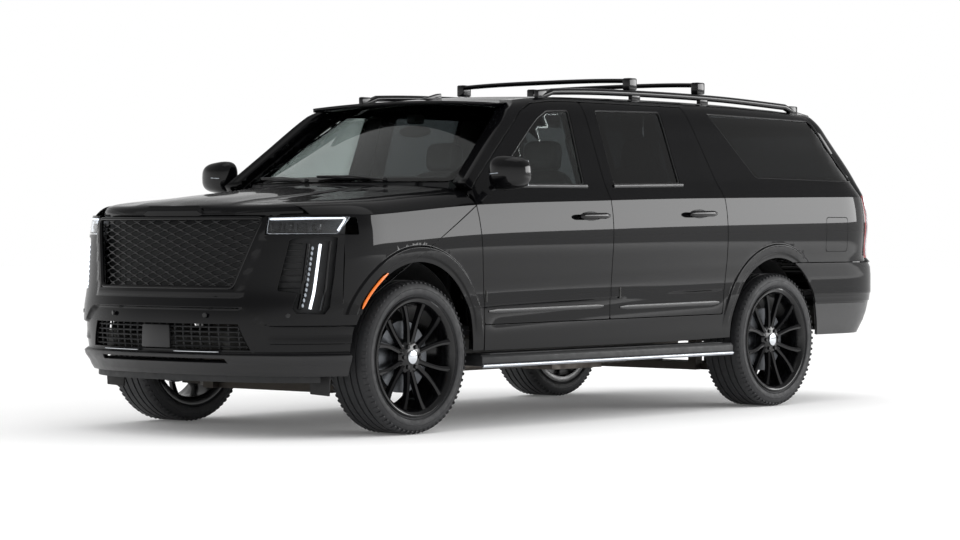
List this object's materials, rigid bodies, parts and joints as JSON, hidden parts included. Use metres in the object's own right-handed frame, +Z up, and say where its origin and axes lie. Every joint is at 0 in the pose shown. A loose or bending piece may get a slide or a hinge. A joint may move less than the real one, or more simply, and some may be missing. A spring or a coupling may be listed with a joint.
{
  "type": "suv",
  "caption": "Long full-size SUV with hinged doors, hood, liftgate and fuel door, steered front wheels and free-rolling wheels, hollow cabin with seats, roof rails with cross bars",
  "frame": {"origin": "on the ground, halfway along the vehicle and on its middle line", "axes": "+Z up, the nose points to -Y, the left side is +X"},
  "size_m": [2.5402, 5.7936, 2.0523],
  "materials": {
    "frame_black": "satin black",
    "trim_black": "satin black plastic",
    "body_paint": "gloss black clearcoat",
    "headlamp": "clear lens over dark housing",
    "tail_lamp": "dark red lens",
    "front_glass": "clear, lightly tinted",
    "dark_glass": "dark privacy tint",
    "cast_metal": "as cast",
    "exhaust_steel": "dull steel",
    "trim_soft": "soft black",
    "seat_leather": "black leather",
    "wheel_black": "gloss black",
    "tyre": "black ribbed tread"
  },
  "bodies": {
    "body": {"chassis_frame": "frame_black", "hitch_receiver": "frame_black", "floor_pan": "trim_black", "body_sides": "body_paint", "roof_panel": "body_paint", "front_fenders": "body_paint", "front_bumper": "body_paint", "grille": "trim_black", "headlamps": "headlamp", "rear_bumper": "body_paint", "tail_lamps": "tail_lamp", "windshield": "front_glass", "quarter_glass": "dark_glass", "engine_block": "cast_metal", "driveline": "cast_metal", "exhaust": "exhaust_steel", "cowl_panel": "trim_black", "dashboard": "trim_soft", "steering_wheel": "trim_soft", "front_seats": "seat_leather", "second_row_seats": "seat_leather", "third_row_seat": "seat_leather", "running_boards": "trim_black", "roof_rack": "body_paint", "wheel_liners": "trim_black", "front_suspension": "frame_black", "rear_suspension": "frame_black"},
    "hood": {"hood": "body_paint"},
    "liftgate": {"liftgate": "body_paint", "liftgate_glass": "dark_glass"},
    "fuel_door": {"fuel_door": "body_paint"},
    "front_door_left": {"front_door_left": "body_paint", "front_door_glass_left": "front_glass", "mirror_left": "body_paint"},
    "front_door_right": {"front_door_right": "body_paint", "front_door_glass_right": "front_glass", "mirror_right": "body_paint"},
    "rear_door_left": {"rear_door_left": "body_paint", "rear_door_glass_left": "dark_glass"},
    "rear_door_right": {"rear_door_right": "body_paint", "rear_door_glass_right": "dark_glass"},
    "knuckle_left": {"knuckle_left": "frame_black"},
    "knuckle_right": {"knuckle_right": "frame_black"},
    "wheel_front_left": {"rim_front_left": "wheel_black", "tyre_front_left": "tyre"},
    "wheel_front_right": {"rim_front_right": "wheel_black", "tyre_front_right": "tyre"},
    "wheel_rear_left": {"rim_rear_left": "wheel_black", "tyre_rear_left": "tyre"},
    "wheel_rear_right": {"rim_rear_right": "wheel_black", "tyre_rear_right": "tyre"}
  },
  "joints": [
    {"name": "front_door_left_hinge", "type": "hinge", "parent": "body", "child": "front_door_left", "pos_m": [1.008, -1.323, 0.9], "axis": [0, 0, -1], "range_deg": [0, 67]},
    {"name": "front_door_right_hinge", "type": "hinge", "parent": "body", "child": "front_door_right", "pos_m": [-1.008, -1.323, 0.9], "axis": [0, 0, 1], "range_deg": [0, 67]},
    {"name": "rear_door_left_hinge", "type": "hinge", "parent": "body", "child": "rear_door_left", "pos_m": [1.008, -0.1105, 0.9], "axis": [0, 0, -1], "range_deg": [0, 67]},
    {"name": "rear_door_right_hinge", "type": "hinge", "parent": "body", "child": "rear_door_right", "pos_m": [-1.008, -0.1105, 0.9], "axis": [0, 0, 1], "range_deg": [0, 67]},
    {"name": "hood_hinge", "type": "hinge", "parent": "body", "child": "hood", "pos_m": [0, -1.463, 1.296], "axis": [-1, 0, 0], "range_deg": [0, 46]},
    {"name": "liftgate_hinge", "type": "hinge", "parent": "body", "child": "liftgate", "pos_m": [0, 2.293, 1.861], "axis": [1, 0, 0], "range_deg": [0, 80]},
    {"name": "fuel_door_hinge", "type": "hinge", "parent": "body", "child": "fuel_door", "pos_m": [1.004, 2.079, 1.082], "axis": [0, 0, -1], "range_deg": [0, 80]},
    {"name": "steering_left", "type": "hinge", "parent": "body", "child": "knuckle_left", "pos_m": [0.8, -1.898, 0.419], "axis": [0, 0, 1], "range_deg": [-34, 34]},
    {"name": "steering_right", "type": "hinge", "parent": "body", "child": "knuckle_right", "pos_m": [-0.8, -1.898, 0.419], "axis": [0, 0, 1], "range_deg": [-34, 34]},
    {"name": "front_wheel_left_spin", "type": "hinge", "parent": "knuckle_left", "child": "wheel_front_left", "pos_m": [0.868, -1.898, 0.419], "axis": [1, 0, 0], "continuous": true},
    {"name": "rear_wheel_left_spin", "type": "hinge", "parent": "body", "child": "wheel_rear_left", "pos_m": [0.868, 1.509, 0.419], "axis": [1, 0, 0], "continuous": true},
    {"name": "front_wheel_right_spin", "type": "hinge", "parent": "knuckle_right", "child": "wheel_front_right", "pos_m": [-0.868, -1.898, 0.419], "axis": [1, 0, 0], "continuous": true},
    {"name": "rear_wheel_right_spin", "type": "hinge", "parent": "body", "child": "wheel_rear_right", "pos_m": [-0.868, 1.509, 0.419], "axis": [1, 0, 0], "continuous": true}
  ],
  "couplings": [
    {"joint": "steering_right", "follows": "steering_left", "ratio": 1}
  ]
}
